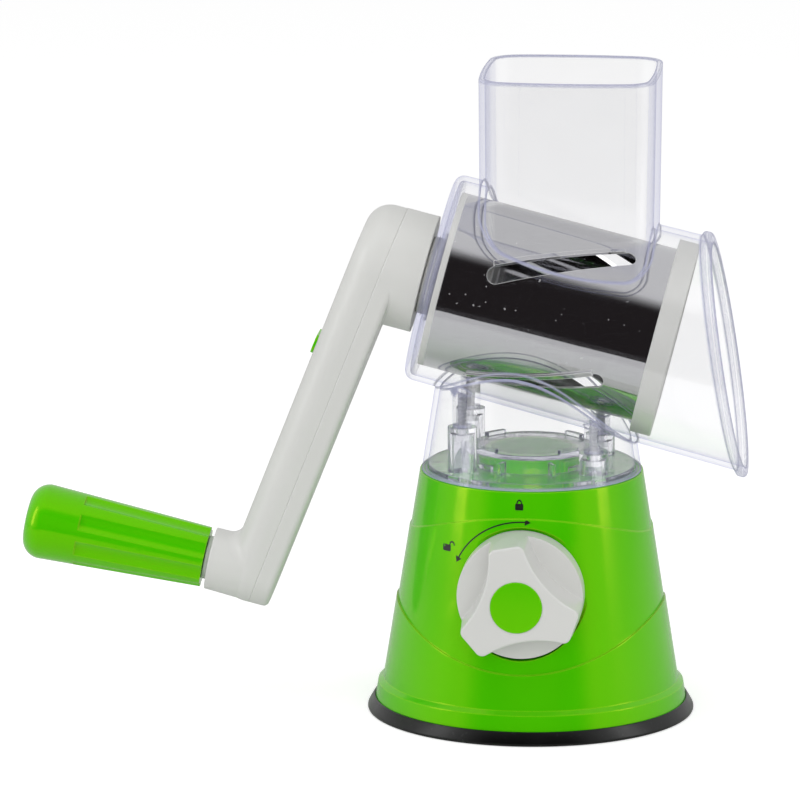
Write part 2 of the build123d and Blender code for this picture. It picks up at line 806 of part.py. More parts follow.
def crank_cover():
    """Outer half of the crank with rounded edges, the inlay's recess and the boss for the grip pin."""
    slab = arm_slab(0, arm_seam)
    slab = arm_frame * fillet(slab.edges().group_by(Axis.Z)[0], arm_rounding)
    before_seam = arm_frame * Pos(0, 0, arm_seam) * Box(
        4 * crank_throw, 4 * crank_throw, 4 * crank_throw, align=(Align.CENTER, Align.CENTER, Align.MAX)
    )
    boss_face = grip_axis * Circle(grip_boss_radius)
    boss_root = drum_axis * Pos(crank_throw, 0, arm_outer) * Circle(arm_end_radius - hub_step)
    boss = loft([boss_face.face(), boss_root.face()]) & before_seam
    cover = slab + boss
    cover = fillet(new_edges(slab, boss, combined=cover), boss_blend)
    cover -= arm_frame * arm_room(arm_skin, arm_seam)
    for place in arm_screw_places():
        cover -= arm_frame * post(arm_screw_radius + snug_fit, arm_screw_tip - wide_gap, arm_seam, place)
    cover -= arm_frame * inlay_shape(0, inlay_depth, seat_gap / 2)
    return cover - grip_axis * post(grip_pin_radius + snug_fit, 0, grip_pin_seat)


def inlay_shape(low, high, margin):
    """Rounded bar across the arm's outer face."""
    outline = SlotOverall(inlay_length + 2 * margin, inlay_width + 2 * margin, rotation=90)
    return Pos(inlay_place, 0, low) * extrude(outline, high - low)


def arm_inlay():
    """Plain green inlay set in the arm's outer face."""
    return arm_frame * inlay_shape(-inlay_rise, inlay_depth, 0)


def drive_spindle():
    """Spindle keyed in the crank's hub, turning in the housing's end wall and driving the drum."""
    hub_face = barrel_end - hub_gap
    key = prism(key_flats, hub_face - key_depth, hub_face + wide_gap)
    journal = post(journal_radius, hub_face + seat_gap, hub_left - wide_gap)
    drive = prism(drive_flats, hub_left - wide_gap, hub_left + socket_depth - wide_gap)
    tapped_end = spindle_screw_seat() + spindle_screw_reach + wide_gap
    tapped = post(spindle_screw_radius + snug_fit, hub_face - key_depth, tapped_end)
    return drum_axis * (key + journal + drive - tapped)


def spindle_screw():
    """Screw from inside the crank that holds the spindle in the hub."""
    one = screw(spindle_screw_radius, spindle_screw_reach, spindle_screw_head_radius, spindle_screw_head)
    return drum_axis * Pos(0, 0, spindle_screw_seat()) * one


def crank_screws():
    """Screws that close the two halves of the crank."""
    seat = arm_thickness - arm_screw_head
    one = screw(arm_screw_radius, seat - arm_screw_tip, arm_screw_head_radius, arm_screw_head)
    return [arm_frame * Pos(place, 0, seat) * Rot(180, 0, 0) * one for place in arm_screw_places()]


def grip_pin():
    """Steel pin fixed in the crank's boss, with a snap bead that keeps the grip on."""
    pin = post(grip_pin_radius, grip_start - grip_pin_reach, grip_pin_seat)
    bead_middle = grip_start - bead_place
    bead = turned([
        (0, bead_middle - bead_width),
        (grip_pin_radius, bead_middle - bead_width),
        (grip_pin_radius + bead_rise, bead_middle),
        (grip_pin_radius, bead_middle + bead_width),
        (0, bead_middle + bead_width),
    ])
    return grip_axis * (pin + bead)


def grip_collar():
    """Pale thrust collar between the crank's boss and the grip."""
    ring = post(collar_radius, -collar_thickness, 0)
    return grip_axis * (ring - post(grip_pin_radius + snug_fit, -collar_thickness, 0))


def grip():
    """Green grip: tapered, with a rounded free end and hollow flutes towards the crank."""
    body = turned([(0, 0), (grip_arm_radius, 0), (grip_end_radius, grip_length), (0, grip_length)])
    body = fillet(body.edges().sort_by(Axis.Z)[-1], grip_end_rounding)
    taper = math.degrees(math.atan2(grip_end_radius - grip_arm_radius, grip_length))
    flute_end = grip_length - flute_stop
    for angle in around(flute_count, flute_turn):
        centre = grip_arm_radius - flute_depth + flute_radius
        cutter = Pos(centre, 0, 0) * Rot(0, taper, 0) * post(flute_radius, -flute_radius, flute_end)
        body -= Rot(0, 0, angle) * cutter
    bore_radius = grip_pin_radius + running_fit
    body -= post(bore_radius, 0, grip_pin_reach + wide_gap)
    body -= turned([
        (0, bead_place - bead_width - wide_gap),
        (bore_radius, bead_place - bead_width - wide_gap),
        (bore_radius + bead_rise, bead_place - wide_gap),
        (bore_radius + bead_rise, bead_place + wide_gap),
        (bore_radius, bead_place + bead_width + wide_gap),
        (0, bead_place + bead_width + wide_gap),
    ])
    return grip_frame * body


pieces = {
    "base_shell": base_shell,
    "suction_pad": suction_pad,
    "lift_frame": lift_frame,
    "frame_screws": frame_screws,
    "shaft_bush": shaft_bush,
    "knob": knob,
    "knob_cap": knob_cap,
    "knob_screw": knob_screw,
    "knob_shaft": knob_shaft,
    "shaft_clip": shaft_clip,
    "lift_stem": lift_stem,
    "pad_insert": pad_insert,
    "bayonet_plate": bayonet_plate,
    "hopper_housing": hopper_housing,
    "hopper_screws": hopper_screws,
    "drum_sleeve": drum_sleeve,
    "drum_rim": drum_rim,
    "drum_hub": drum_hub,
    "crank_arm": crank_arm,
    "crank_cover": crank_cover,
    "arm_inlay": arm_inlay,
    "drive_spindle": drive_spindle,
    "spindle_screw": spindle_screw,
    "crank_screws": crank_screws,
    "grip_pin": grip_pin,
    "grip_collar": grip_collar,
    "grip": grip,
}

os.makedirs("parts", exist_ok=True)
for name, make in pieces.items():
    made = make()
    solids = made if isinstance(made, list) else [made]
    export_step(Compound(children=[s for one in solids for s in one.solids()]), f"parts/{name}.step")
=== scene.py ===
import contextlib
import itertools
import json
import math

import bpy
from bpy.props import FloatProperty, FloatVectorProperty, IntProperty, PointerProperty
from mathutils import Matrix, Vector


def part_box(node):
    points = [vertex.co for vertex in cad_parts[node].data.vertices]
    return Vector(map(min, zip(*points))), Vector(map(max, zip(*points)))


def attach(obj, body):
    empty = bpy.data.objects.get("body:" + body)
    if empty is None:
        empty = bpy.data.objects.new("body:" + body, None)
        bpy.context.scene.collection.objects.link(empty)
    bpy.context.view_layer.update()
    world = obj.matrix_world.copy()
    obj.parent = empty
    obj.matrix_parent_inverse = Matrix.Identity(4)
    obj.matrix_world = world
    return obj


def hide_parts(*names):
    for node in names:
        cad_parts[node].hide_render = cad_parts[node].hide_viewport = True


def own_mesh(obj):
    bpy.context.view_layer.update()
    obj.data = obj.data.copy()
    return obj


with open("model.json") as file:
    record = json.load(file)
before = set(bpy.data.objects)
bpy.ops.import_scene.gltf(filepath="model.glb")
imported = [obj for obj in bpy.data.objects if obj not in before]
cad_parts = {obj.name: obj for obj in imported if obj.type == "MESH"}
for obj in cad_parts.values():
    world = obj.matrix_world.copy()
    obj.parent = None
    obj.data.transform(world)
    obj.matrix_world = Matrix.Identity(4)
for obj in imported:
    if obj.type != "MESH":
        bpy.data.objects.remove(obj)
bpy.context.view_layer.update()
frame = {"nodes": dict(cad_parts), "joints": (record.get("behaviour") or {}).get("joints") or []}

bl_info = {
    "name": "Drum grater",
    "version": (1, 0, 0),
    "blender": (4, 5, 0),
    "location": "View3D > Sidebar > Grater",
    "description": "Finishes, soft foot, printed lock marks and studio for a hand-cranked drum grater",
    "category": "Object",
}


def joint(name):
    """One of the frame's joints by its name."""
    return next(one for one in frame["joints"] if one["name"] == name)


DRUM_AXIS = Vector(joint("crank_spin")["axis"])
DRUM_TILT = math.atan2(-DRUM_AXIS.z, DRUM_AXIS.x)

# Edges in the finishes: samples of a rounded normal, and the bend below which it counts as flat
BEVEL_SAMPLES = 6
LEAST_BEND = 0.03

# Sizes in metres of what the finishes show; the _EDGE sizes are roundings whose width also sets the painted
# highlights and lines along edges
MOULD_FLOW = 0.06
MOULD_PEEL = 0.0016
MOULD_EDGE = 0.0009
CLEAR_HAZE = 0.012
CLEAR_WAVE = 0.03
CLEAR_EDGE = 0.0017
DECK_HAZE = 0.006
DECK_WAVE = 0.01
DECK_EDGE = 0.0006
STEEL_STREAK = 0.0012
STEEL_CLOUD = 0.03
STEEL_BUCKLE = 0.022
STEEL_SPECK = 0.0013
STEEL_EDGE = 0.0005
RUBBER_DUST = 0.009
RUBBER_GRAIN = 0.0009
RUBBER_SPECK = 0.0014
RUBBER_SCUFF = 0.004
INK_WEAR = 0.0007

# Colours that belong to a finish and aren't set by hand
WHITE = (1, 1, 1, 1)
CLEAR_WALL = (0.988, 0.988, 0.99, 1)
CLEAR_SOLID = (0.985, 0.985, 0.99, 1)
SPECK_AND_EDGE_HIGHLIGHT_STEEL = (0.8, 0.8, 0.8, 1)
FULL_INK = (0.004, 0.004, 0.004, 1)
WORN_INK = (0.016, 0.018, 0.014, 1)
TABLE_PAPER = (0.8, 0.8, 0.8, 1)
DARK_ROOM = (0.02, 0.017, 0.018, 1)

# Padlock sign, as shares of its width
PADLOCK_HEIGHT = 0.8
PADLOCK_CORNER = 0.12
SHACKLE_INNER = 0.22
SHACKLE_OUTER = 0.36
SHACKLE_LIFT = 0.38
SHACKLE_STRETCH = 1.45

# Where the dark side of the room starts to fade and where it is gone, in metres
SIDE_FADE = (0.9, 1.9)
TOP_FADE = (1.3, 2.4)

# Camera sensor in millimetres
SENSOR_WIDTH = 36.0

# Modelling
MERGE_DISTANCE = 0.00001
SMOOTH_ANGLE = math.radians(32)
SLOPE_STEPS = 6
ARC_CORNERS = 180
SHACKLE_CORNERS = 32


class Value:
    """A shader socket that takes part in Python sums; each operator adds one Math node."""

    def __init__(self, finish, socket):
        self.finish = finish
        self.socket = socket

    def math(self, operation, *others, swapped=False):
        """Math node on this value and others, in turned order if swapped."""
        terms = [self, *others]
        if swapped:
            terms.reverse()
        inputs = {place: term for place, term in enumerate(terms)}
        return self.finish.node("ShaderNodeMath", {"operation": operation}, inputs)

    def __add__(self, other):
        return self.math("ADD", other)

    __radd__ = __add__

    def __sub__(self, other):
        return self.math("SUBTRACT", other)

    def __rsub__(self, other):
        return self.math("SUBTRACT", other, swapped=True)

    def __mul__(self, other):
        return self.math("MULTIPLY", other)

    __rmul__ = __mul__

    def __pow__(self, other):
        return self.math("POWER", other)

    def size(self):
        """The value without its sign."""
        return self.math("ABSOLUTE")

    def rise(self, low, high):
        """0 below low, 1 above high, smooth between."""
        inputs = {"Value": self, "From Min": low, "From Max": high}
        return self.finish.node("ShaderNodeMapRange", {"interpolation_type": "SMOOTHSTEP"}, inputs)

    def highest(self, other):
        """The greater of two values."""
        return self.math("MAXIMUM", other)


class Finish:
    """A material or world being made out of nodes."""

    def __init__(self, block):
        block.use_nodes = True
        self.block = block
        self.tree = block.node_tree
        self.tree.nodes.clear()

    def node(self, kind, settings=None, inputs=None, output=0):
        """Adds a node, sets it, fills its sockets with values or links, and gives one output as a Value."""
        made = self.tree.nodes.new(kind)
        for key, setting in (settings or {}).items():
            setattr(made, key, setting)
        for key, given in (inputs or {}).items():
            if isinstance(given, Value):
                self.tree.links.new(given.socket, made.inputs[key])
            else:
                made.inputs[key].default_value = given
        return Value(self, made.outputs[output]) if made.outputs else None

    def place(self, scale=(1, 1, 1), turn=(0, 0, 0)):
        """Object coordinates, turned and scaled."""
        coordinates = self.node("ShaderNodeTexCoord", output="Object")
        inputs = {"Vector": coordinates, "Scale": scale, "Rotation": turn}
        return self.node("ShaderNodeMapping", inputs=inputs)

    def noise(self, size, detail=2.0, stretch=(1, 1, 1), turn=(0, 0, 0)):
        """Noise from 0 to 1 whose features are about size metres across."""
        inputs = {"Vector": self.place(stretch, turn), "Scale": 1 / size, "Detail": detail}
        return self.node("ShaderNodeTexNoise", inputs=inputs)

    def blend(self, share, first, second):
        """Colour between first and second by share."""
        inputs = {"Factor": share, 6: first, 7: second}
        return self.node("ShaderNodeMix", {"data_type": "RGBA"}, inputs, output=2)

    def rounded(self, radius):
        """Normal over edges rounded by a radius."""
        return self.node("ShaderNodeBevel", {"samples": BEVEL_SAMPLES}, {"Radius": radius})

    def relief(self, height, depth, rounded=None):
        """Normal from a height, over the mesh's own normal or a rounded one."""
        inputs = {"Height": height, "Distance": depth, "Strength": 1.0}
        if rounded:
            inputs["Normal"] = rounded
        return self.node("ShaderNodeBump", inputs=inputs)

    def edges(self, rounded, gain):
        """1 on sharp edges of the mesh, fading out to 0 where a rounded normal meets the mesh's own."""
        flat = self.node("ShaderNodeNewGeometry", output="Normal")
        alike = self.node(
            "ShaderNodeVectorMath", {"operation": "DOT_PRODUCT"}, {0: rounded, 1: flat}, output="Value",
        )
        bend = (1 - alike) ** 0.5
        return self.node("ShaderNodeClamp", inputs={"Value": (bend - LEAST_BEND) * gain})

    def mix(self, share, first, second):
        """Shader between first and second by share."""
        return self.node("ShaderNodeMixShader", inputs={0: share, 1: first, 2: second})

    def surface(self, inputs):
        """Principled surface as the material's output."""
        shader = self.node("ShaderNodeBsdfPrincipled", inputs=inputs)
        self.node("ShaderNodeOutputMaterial", inputs={"Surface": shader})
        return self.block

    def filled(self, shader, tint, density):
        """Surface over a tinted inside as the material's output."""
        inputs = {"Color": with_alpha(tint), "Density": density}
        inside = self.node("ShaderNodeVolumeAbsorption", inputs=inputs)
        self.node("ShaderNodeOutputMaterial", inputs={"Surface": shader, "Volume": inside})
        return self.block


def new_finish(name):
    """Empty finish for a new material."""
    return Finish(bpy.data.materials.new(name))


def with_alpha(colour, share=1.0):
    """Four-value colour, darkened by share."""
    return (*(part * share for part in colour), 1.0)


def moulded_plastic(name, colour, roughness, peel, painted_edge_colour, shine=(1, 1, 1), gloss=0.5, ior=1.45):
    """Injection-moulded plastic: faint flow marks, orange peel, rounded edges and a painted highlight along
    them.
    """
    finish = new_finish(name)
    flow = finish.noise(MOULD_FLOW, detail=3.0)
    fine = finish.noise(MOULD_PEEL)
    rounded = finish.rounded(MOULD_EDGE)
    tone = finish.blend(flow, with_alpha(colour, 0.95), with_alpha(colour, 1.05))
    return finish.surface({
        # Base colour painted paler along the edges: a painted highlight where the rounded edges would catch
        # the lamps
        "Base Color": finish.blend(finish.edges(rounded, gain=1.8), tone, with_alpha(painted_edge_colour)),
        "Roughness": flow * 0.06 + fine * 0.05 + (roughness - 0.055),
        "Normal": finish.relief(fine, peel, rounded),
        "Specular Tint": with_alpha(shine),
        "Specular IOR Level": gloss,
        "IOR": ior,
    })


def thin_clear_plastic(name, tint, painted_edge_colour, density):
    """Clear thin wall: the view through it isn't bent, it shines at a glancing angle and has painted lavender
    lines along its edges.
    """
    finish = new_finish(name)
    haze = finish.noise(CLEAR_HAZE, detail=3.0)
    wave = finish.noise(CLEAR_WAVE, detail=1.0)
    facing = finish.node("ShaderNodeLayerWeight", inputs={"Blend": 0.5}, output="Facing")
    glance = facing ** 5.0 * 0.3 + haze * 0.015 + 0.035
    straight = finish.node("ShaderNodeBsdfTransparent", inputs={"Color": CLEAR_WALL})
    slanted = finish.node("ShaderNodeBsdfTransparent", inputs={"Color": with_alpha(tint)})
    through = finish.mix(facing ** 9.0, straight, slanted)
    shine = finish.node("ShaderNodeBsdfGlossy", inputs={
        "Color": WHITE,
        "Roughness": haze * 0.05 + 0.02,
        "Normal": finish.relief(wave, depth=0.0002),
    })
    # Lavender diffuse painted along the edges: painted lines standing in for light bent and reflected inside
    # them, tinted like the plastic
    painted_edge_and_haze = finish.node("ShaderNodeBsdfDiffuse", inputs={"Color": with_alpha(painted_edge_colour)})
    painted_edge_share = finish.edges(finish.rounded(CLEAR_EDGE), gain=10.0) * 0.85
    surface = finish.mix(glance, finish.mix(painted_edge_share, through, painted_edge_and_haze), shine)
    return finish.filled(surface, tint, density)


def thick_clear_plastic(name, tint, painted_edge_colour, density):
    """Clear solid moulding that bends the light, a little hazy, tinted where it is thick, with painted
    lavender lines along its edges.
    """
    finish = new_finish(name)
    wave = finish.noise(DECK_WAVE, detail=1.0)
    haze = finish.noise(DECK_HAZE, detail=3.0)
    rounded = finish.rounded(DECK_EDGE)
    bent = finish.node("ShaderNodeBsdfPrincipled", inputs={
        "Base Color": CLEAR_SOLID,
        "Roughness": haze * 0.04,
        "Normal": finish.relief(wave, depth=0.0001, rounded=rounded),
        "Transmission Weight": 1.0,
        "IOR": 1.45,
    })
    # Lavender diffuse for the real haze and for painted lines along the edges, standing in for light bent and
    # reflected inside them
    painted_edge_and_haze = finish.node("ShaderNodeBsdfDiffuse", inputs={"Color": with_alpha(painted_edge_colour)})
    haze_and_painted_edge = (finish.edges(rounded, gain=1.8) * 0.6).highest(haze * 0.2)
    return finish.filled(finish.mix(haze_and_painted_edge, bent, painted_edge_and_haze), tint, density)


def polished_steel(name, colour, roughness, dents):
    """Polished stainless sheet: faint streaks along the drum, shallow dents, specks and a painted highlight
    along the edges.
    """
    finish = new_finish(name)
    along = (0, DRUM_TILT, 0)
    streaks = finish.noise(STEEL_STREAK, stretch=(0.06, 1, 1), turn=along)
    cloud = finish.noise(STEEL_CLOUD)
    buckle = finish.noise(STEEL_BUCKLE, detail=1.5, stretch=(0.5, 1, 1), turn=along)
    specks = finish.noise(STEEL_SPECK, detail=0.0).rise(0.83, 0.86)
    # Painted highlight: edges painted pale and not metallic so they light up along the slot and rims; the
    # specks are real
    specks_and_edge_highlight = finish.edges(finish.rounded(STEEL_EDGE), gain=2.0).highest(specks * 0.5)
    tone = finish.blend(streaks, with_alpha(colour, 0.97), with_alpha(colour, 1.03))
    return finish.surface({
        "Base Color": finish.blend(specks_and_edge_highlight, tone, SPECK_AND_EDGE_HIGHLIGHT_STEEL),
        "Metallic": 1 - specks_and_edge_highlight,
        "Roughness": streaks * 0.03 + cloud * 0.02 + (roughness - 0.025),
        "Normal": finish.relief(buckle + streaks * 0.02, dents),
    })


def foot_rubber(name, colour):
    """Dark rubber with a matt, slightly dusty skin, a few pale specks and fine scuffs."""
    finish = new_finish(name)
    dust = finish.noise(RUBBER_DUST, detail=4.0)
    fine = finish.noise(RUBBER_GRAIN)
    specks = finish.noise(RUBBER_SPECK, detail=0.0).rise(0.76, 0.8)
    scuffs = finish.noise(RUBBER_SCUFF, stretch=(1, 1, 0.12), turn=(0, 0.6, 0)).rise(0.7, 0.74)
    worn = finish.node("ShaderNodeClamp", inputs={"Value": specks * 0.5 + scuffs * 0.25})
    tone = finish.blend(dust, with_alpha(colour, 0.8), with_alpha(colour, 1.3))
    return finish.surface({
        "Base Color": finish.blend(worn, tone, with_alpha(colour, 12.0)),
        "Roughness": dust * 0.2 + 0.22,
        "Normal": finish.relief(fine, depth=0.00002),
        "Specular IOR Level": 0.4,
    })


def black_ink(name):
    """Pad-printed ink, a little worn."""
    finish = new_finish(name)
    wear = finish.noise(INK_WEAR, detail=3.0)
    tone = finish.blend(wear, FULL_INK, WORN_INK)
    return finish.surface({"Base Color": tone, "Roughness": wear * 0.2 + 0.35})


def paint_nodes(material, *names):
    """Gives CAD nodes a material."""
    for name in names:
        mesh = frame["nodes"][name].data
        mesh.materials.clear()
        mesh.materials.append(material)


@contextlib.contextmanager
def editing():
    """Edit mode on the active piece with all of it selected."""
    bpy.ops.object.mode_set(mode="EDIT")
    bpy.ops.mesh.select_all(action="SELECT")
    yield
    bpy.ops.object.mode_set(mode="OBJECT")


def add_ring(radius, middle, corners, turn=0.0, upright=False):
    """Circle of edges, level or upright, as the active piece with its place applied."""
    bpy.ops.object.select_all(action="DESELECT")
    stand = math.radians(90) if upright else 0.0
    bpy.ops.mesh.primitive_circle_add(
        vertices=corners, radius=radius, location=middle, rotation=(stand, turn, 0),
    )
    bpy.ops.object.transform_apply(location=True, rotation=True, scale=True)
    return bpy.context.object


def turned_piece(name, profile, corners):
    """Body of revolution about z, extruded ring by ring along a profile of (radius, height)."""
    piece = add_ring(profile[0][0], (0, 0, profile[0][1]), corners)
    piece.name = name
    with editing():
        for (radius, height), (next_radius, next_height) in itertools.pairwise(profile):
            bpy.ops.mesh.extrude_edges_move(TRANSFORM_OT_translate={"value": (0, 0, next_height - height)})
            growth = next_radius / radius
            bpy.ops.transform.resize(value=(growth, growth, 1), center_override=(0, 0, next_height))
        if profile[-1] != profile[0]:
            bpy.ops.mesh.edge_face_add()
            bpy.ops.mesh.select_all(action="DESELECT")
            bpy.ops.mesh.select_non_manifold()
            bpy.ops.mesh.edge_face_add()
        bpy.ops.mesh.select_all(action="SELECT")
        bpy.ops.mesh.remove_doubles(threshold=MERGE_DISTANCE)
        bpy.ops.mesh.normals_make_consistent(inside=False)
    bpy.ops.object.shade_smooth_by_angle(angle=SMOOTH_ANGLE)
    return piece


def slope(start, end):
    """Points on a line from start up to, but without, end."""
    first, last = Vector(start), Vector(end)
    return [tuple(first.lerp(last, step / SLOPE_STEPS)) for step in range(SLOPE_STEPS)]


class GraterColours(bpy.types.PropertyGroup):
    """Colours of the plastics, steel and rubber"""

    green: FloatVectorProperty(
        name="Green", description="Lime green of the base and grip", subtype="COLOR",
        default=(0.056, 0.555, 0.0004), min=0.0, max=1.0,
    )
    # Painted highlight: paler green painted along the edges, where they would catch the lamps
    green_edge_highlight: FloatVectorProperty(
        name="Green edge", description="Paler green along the edges", subtype="COLOR",
        default=(0.22, 0.7, 0.012), min=0.0, max=1.0,
    )
    green_shine: FloatVectorProperty(
        name="Green shine", description="Tint of the green plastic's reflections", subtype="COLOR",
        default=(1.0, 0.75, 0.04), min=0.0, max=1.0,
    )
    white: FloatVectorProperty(
        name="White", description="Warm white of the crank and knob", subtype="COLOR",
        default=(0.655, 0.657, 0.636), min=0.0, max=1.0,
    )
    # Painted highlight: paler white painted along the edges, where they would catch the lamps
    white_edge_highlight: FloatVectorProperty(
        name="White edge", description="Paler white along the edges", subtype="COLOR",
        default=(0.79, 0.79, 0.775), min=0.0, max=1.0,
    )
    steel: FloatVectorProperty(
        name="Steel", description="Polished steel of the drum", subtype="COLOR",
        default=(0.66, 0.66, 0.68), min=0.0, max=1.0,
    )
    fasteners: FloatVectorProperty(
        name="Fasteners", description="Bright steel of the screws, shaft, clip and pin",
        subtype="COLOR", default=(0.85, 0.85, 0.86), min=0.0, max=1.0,
    )
    rubber: FloatVectorProperty(
        name="Rubber", description="Dark grey of the suction foot", subtype="COLOR",
        default=(0.0016, 0.0018, 0.0018), min=0.0, max=1.0,
    )
    acetal: FloatVectorProperty(
        name="Acetal", description="Natural plastic of the parts inside the base", subtype="COLOR",
        default=(0.62, 0.61, 0.57), min=0.0, max=1.0,
    )
    # Painted highlight: paler acetal painted along the edges, where they would catch the lamps
    acetal_edge_highlight: FloatVectorProperty(
        name="Acetal edge", description="Paler acetal along the edges", subtype="COLOR",
        default=(0.7, 0.69, 0.66), min=0.0, max=1.0,
    )
    clear_tint: FloatVectorProperty(
        name="Clear tint", description="Tint of the clear plastic in thick places", subtype="COLOR",
        default=(0.72, 0.73, 0.90), min=0.0, max=1.0,
    )
    # Painted edge lines: lavender standing in for light bent and reflected inside the clear edges, tinted
    # like the plastic
    clear_painted_edge: FloatVectorProperty(
        name="Clear edge", description="Colour that shows along the edges of the clear plastic",
        subtype="COLOR", default=(0.40, 0.41, 0.57), min=0.0, max=1.0,
    )


class GraterStudio(bpy.types.PropertyGroup):
    """Camera, lamps, table and room"""

    azimuth: FloatProperty(
        name="Azimuth", description="How far the camera stands to the right", subtype="ANGLE",
        default=math.radians(5.7),
    )
    elevation: FloatProperty(
        name="Elevation", description="How far the camera looks down", subtype="ANGLE",
        default=math.radians(11.9),
    )
    distance: FloatProperty(
        name="Distance", description="Camera to the middle of the view", unit="LENGTH", default=2.9,
    )
    aim: FloatVectorProperty(
        name="Aim", description="Middle of the view",
        subtype="TRANSLATION", default=(-0.05555, 0.0, 0.131),
    )
    lens: FloatProperty(
        name="Lens", description="Focal length in millimetres on a 36 mm sensor",
        unit="CAMERA", default=310.7,
    )
    room_light: FloatProperty(
        name="Room light", description="Plain light from all round",
        subtype="FACTOR", default=0.56, min=0.0, max=1.0,
    )
    mirror_light: FloatProperty(
        name="Mirror light", description="Brightness of the room in glossy surfaces",
        subtype="FACTOR", default=0.75, min=0.0, max=1.0,
    )
    floor_glow: FloatProperty(
        name="Floor glow", description="Light added to the table so that it is white like the room",
        subtype="FACTOR", default=0.5, min=0.0, max=1.0,
    )
    dark_distance: FloatProperty(
        name="Dark distance", description="Distance of the dark side of the room",
        unit="LENGTH", default=1.4,
    )
    dark_width: FloatProperty(
        name="Dark width", description="Width of the dark side of the room", unit="LENGTH", default=4.4,
    )
    dark_height: FloatProperty(
        name="Dark height", description="Height of the dark side of the room",
        unit="LENGTH", default=2.6,
    )
    table_size: FloatProperty(
        name="Table size", description="Side of the white table", unit="LENGTH", default=12.0,
    )
    table_gap: FloatProperty(
        name="Table gap", description="Gap that keeps flat faces off the table's face", unit="LENGTH",
        default=0.0002, precision=5,
    )
    table_edge: FloatProperty(
        name="Table edge", description="Distance of the white table's front edge",
        unit="LENGTH", default=0.36,
    )
    strip_angle: FloatProperty(
        name="Strip angle", description="How far the strip lamps stand from the camera's side",
        subtype="ANGLE", default=math.radians(75),
    )
    strip_distance: FloatProperty(
        name="Strip distance", description="Distance of the strip lamps", unit="LENGTH", default=1.2,
    )
    strip_lift: FloatProperty(
        name="Strip lift", description="Height of the strip lamps' middle", unit="LENGTH", default=0.55,
    )
    strip_width: FloatProperty(
        name="Strip width", description="Width of a strip lamp", unit="LENGTH", default=0.3,
    )
    strip_height: FloatProperty(
        name="Strip height", description="Height of a strip lamp", unit="LENGTH", default=0.9,
    )
    strip_power: FloatProperty(
        name="Strip power", description="Power of a strip lamp", unit="POWER", default=2.4,
    )
    lamp_target: FloatVectorProperty(
        name="Lamp target", description="Point that the lamps look at", subtype="TRANSLATION",
        default=(0.0, 0.0, 0.15),
    )
    softbox_width: FloatProperty(
        name="Softbox width", description="Width of the top and front lamps",
        unit="LENGTH", default=1.6,
    )
    softbox_height: FloatProperty(
        name="Softbox height", description="Height of the top and front lamps",
        unit="LENGTH", default=1.2,
    )
    top_place: FloatVectorProperty(
        name="Top place", description="Place of the lamp overhead", subtype="TRANSLATION",
        default=(-0.3, -0.4, 1.7),
    )
    top_power: FloatProperty(
        name="Top power", description="Power of the lamp overhead", unit="POWER", default=6.0,
    )
    front_place: FloatVectorProperty(
        name="Front place", description="Place of the lamp beside the camera", subtype="TRANSLATION",
        default=(0.2, -2.2, 0.7),
    )
    front_power: FloatProperty(
        name="Front power", description="Power of the lamp beside the camera", unit="POWER", default=14.0,
    )


class GraterFoot(bpy.types.PropertyGroup):
    """Sizes of the rubber suction foot"""

    edge_radius: FloatProperty(
        name="Edge radius", description="Rounding of the rubber rim", unit="LENGTH", default=0.0005,
    )
    edge_height: FloatProperty(
        name="Edge height", description="Height of the rim's widest place",
        unit="LENGTH", default=0.001,
    )
    lip_height: FloatProperty(
        name="Lip height", description="Top of the lip round the base", unit="LENGTH", default=0.0056,
    )
    lip_width: FloatProperty(
        name="Lip width", description="Width of the lip's top", unit="LENGTH", default=0.0008,
    )
    ring_radius: FloatProperty(
        name="Ring radius", description="Inner radius of the part that stays on the table",
        unit="LENGTH", default=0.056,
    )
    boss_radius: FloatProperty(
        name="Boss radius", description="Radius of the raised middle", unit="LENGTH", default=0.018,
    )
    hollow: FloatProperty(
        name="Hollow", description="Height of the drawn-up middle over the table",
        unit="LENGTH", default=0.0085,
    )
    skin: FloatProperty(
        name="Skin", description="Thickness of the membrane", unit="LENGTH", default=0.003,
    )
    corners: IntProperty(name="Corners", description="Corners round the foot", default=160, min=24)


class GraterPrint(bpy.types.PropertyGroup):
    """Sizes and places of the printed lock marks"""

    arc_radius: FloatProperty(
        name="Arc radius", description="Radius of the arrow about the knob",
        unit="LENGTH", default=0.0297,
    )
    arc_start: FloatProperty(
        name="Arc start", description="Left end, from straight up",
        subtype="ANGLE", default=math.radians(-65),
    )
    arc_end: FloatProperty(
        name="Arc end", description="Right end, from straight up",
        subtype="ANGLE", default=math.radians(4),
    )
    line: FloatProperty(
        name="Line", description="Width of the printed lines", unit="LENGTH", default=0.00055,
    )
    head: FloatProperty(
        name="Head", description="Radius of an arrow head", unit="LENGTH", default=0.0016,
    )
    closed_angle: FloatProperty(
        name="Closed sign", description="Place of the closed padlock, from straight up",
        subtype="ANGLE", default=math.radians(-2),
    )
    open_angle: FloatProperty(
        name="Open sign", description="Place of the open padlock, from straight up", subtype="ANGLE",
        default=math.radians(-63),
    )
    open_shift: FloatProperty(
        name="Open shift",
        description="How far the open shackle stands aside, as a share of the padlock's width",
        subtype="FACTOR", default=0.672, min=0.0, max=1.0,
    )
    sign_radius: FloatProperty(
        name="Sign radius", description="Distance of the two padlock signs from the knob's middle",
        unit="LENGTH", default=0.0358,
    )
    sign_width: FloatProperty(
        name="Sign width", description="Width of a padlock's body", unit="LENGTH", default=0.0034,
    )
    lift: FloatProperty(
        name="Lift", description="Thickness of the ink", unit="LENGTH", default=0.00004, precision=5,
    )


class GraterSettings(bpy.types.PropertyGroup):
    """All settings of the grater, kept on the scene"""

    colours: PointerProperty(type=GraterColours)
    foot: PointerProperty(type=GraterFoot)
    lock_print: PointerProperty(type=GraterPrint)
    studio: PointerProperty(type=GraterStudio)


